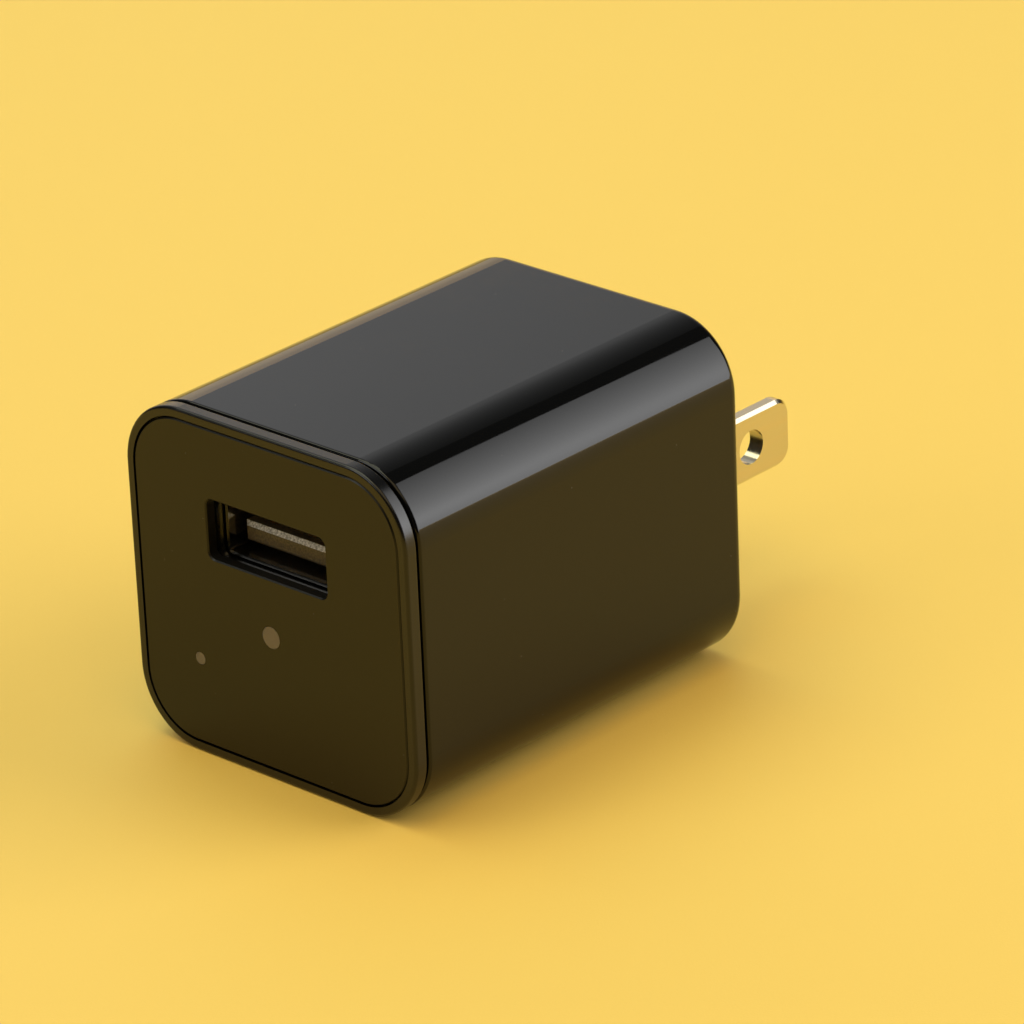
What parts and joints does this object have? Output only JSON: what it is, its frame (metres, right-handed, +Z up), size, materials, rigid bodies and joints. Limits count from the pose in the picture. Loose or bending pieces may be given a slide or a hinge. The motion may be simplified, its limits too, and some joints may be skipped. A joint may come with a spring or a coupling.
{
  "type": "usb wall charger",
  "caption": "Compact gloss black mains charger: rounded box with a bezelled flush front panel, a USB-A port, round light windows and fixed flat blades.",
  "frame": {"origin": "midway between the two plug blades, on the plug face", "axes": "+Y out of the plug face along the blades, the port faces -Y, +Z up"},
  "size_m": [0.032, 0.0585, 0.0316],
  "materials": {
    "housing_plastic": "high-gloss moulded black polycarbonate",
    "bezel_plastic": "gloss moulded black polycarbonate",
    "panel_plastic": "smoked black acrylic, flat polished",
    "light_guide": "smoky translucent acrylic",
    "adhesive_film": "black foam tape",
    "blade_nickel": "nickel-plated brass, polished",
    "retainer_plastic": "moulded black nylon",
    "spring_brass": "phosphor bronze strip",
    "insulation_film": "polyester film",
    "board_laminate": "glass-epoxy board with green solder mask",
    "port_steel": "nickel-plated steel sheet",
    "tongue_plastic": "matte moulded black thermoplastic",
    "contact_gold": "gold-plated bronze",
    "led_epoxy": "milky epoxy",
    "header_plastic": "moulded black nylon",
    "tinned_lead": "tinned copper wire",
    "ferrite": "sintered ferrite",
    "bobbin_phenolic": "black phenolic moulding",
    "winding_copper": "enamelled copper wire",
    "core_tape": "yellow polyester tape",
    "can_aluminium": "drawn aluminium can",
    "capacitor_sleeve": "heat-shrunk film",
    "seal_rubber": "moulded rubber",
    "chip_epoxy": "moulded black epoxy",
    "resistor_coating": "baked enamel coating",
    "disc_coating": "dipped blue epoxy over a ceramic disc",
    "chip_ceramic": "sintered ceramic"
  },
  "bodies": {
    "root": {"blade_retainer": "retainer_plastic", "board_link_header": "header_plastic", "board_link_pins": "tinned_lead", "bridge_rectifier": "chip_epoxy", "bridge_rectifier_leads": "tinned_lead", "charge_led": "led_epoxy", "charge_light_guide": "light_guide", "chip_capacitors": "chip_ceramic", "chip_resistors": "chip_ceramic", "controller_chip": "chip_epoxy", "controller_chip_leads": "tinned_lead", "front_bezel": "bezel_plastic", "front_bulk_capacitor_can": "can_aluminium", "front_bulk_capacitor_leads": "tinned_lead", "front_bulk_capacitor_seal": "seal_rubber", "front_bulk_capacitor_sleeve": "capacitor_sleeve", "front_panel": "panel_plastic", "fuse_resistor": "resistor_coating", "fuse_resistor_leads": "tinned_lead", "housing_shell": "housing_plastic", "inductor_core": "ferrite", "inductor_leads": "tinned_lead", "inductor_winding": "winding_copper", "insulation_sheet": "insulation_film", "main_board": "board_laminate", "mains_spring_left": "spring_brass", "mains_spring_right": "spring_brass", "output_capacitor_can": "can_aluminium", "output_capacitor_leads": "tinned_lead", "output_capacitor_seal": "seal_rubber", "output_capacitor_sleeve": "capacitor_sleeve", "output_diode": "chip_epoxy", "output_diode_tabs": "tinned_lead", "panel_adhesive": "adhesive_film", "plug_blade_left": "blade_nickel", "plug_blade_right": "blade_nickel", "rear_bulk_capacitor_can": "can_aluminium", "rear_bulk_capacitor_leads": "tinned_lead", "rear_bulk_capacitor_seal": "seal_rubber", "rear_bulk_capacitor_sleeve": "capacitor_sleeve", "status_led": "led_epoxy", "status_light_guide": "light_guide", "transformer_bobbin": "bobbin_phenolic", "transformer_core_front": "ferrite", "transformer_core_rear": "ferrite", "transformer_pins": "tinned_lead", "transformer_tape": "core_tape", "transformer_winding": "winding_copper", "usb_board": "board_laminate", "usb_contact_tails": "contact_gold", "usb_insulator": "tongue_plastic", "usb_shell": "port_steel", "y_capacitor": "disc_coating", "y_capacitor_leads": "tinned_lead"},
    "usb_contact_1": {"usb_contact_1": "contact_gold"},
    "usb_contact_2": {"usb_contact_2": "contact_gold"},
    "usb_contact_3": {"usb_contact_3": "contact_gold"},
    "usb_contact_4": {"usb_contact_4": "contact_gold"}
  },
  "joints": [
    {"name": "usb_contact_1_bend", "type": "hinge", "parent": "root", "child": "usb_contact_1", "pos_m": [-0.0035, -0.0296, 0.00696], "axis": [1, 0, 0], "range_deg": [0, 4], "stiffness_Nm_per_rad": 0.12},
    {"name": "usb_contact_2_bend", "type": "hinge", "parent": "root", "child": "usb_contact_2", "pos_m": [-0.001, -0.0296, 0.00696], "axis": [1, 0, 0], "range_deg": [0, 4], "stiffness_Nm_per_rad": 0.12},
    {"name": "usb_contact_3_bend", "type": "hinge", "parent": "root", "child": "usb_contact_3", "pos_m": [0.001, -0.0296, 0.00696], "axis": [1, 0, 0], "range_deg": [0, 4], "stiffness_Nm_per_rad": 0.12},
    {"name": "usb_contact_4_bend", "type": "hinge", "parent": "root", "child": "usb_contact_4", "pos_m": [0.0035, -0.0296, 0.00696], "axis": [1, 0, 0], "range_deg": [0, 4], "stiffness_Nm_per_rad": 0.12}
  ]
}
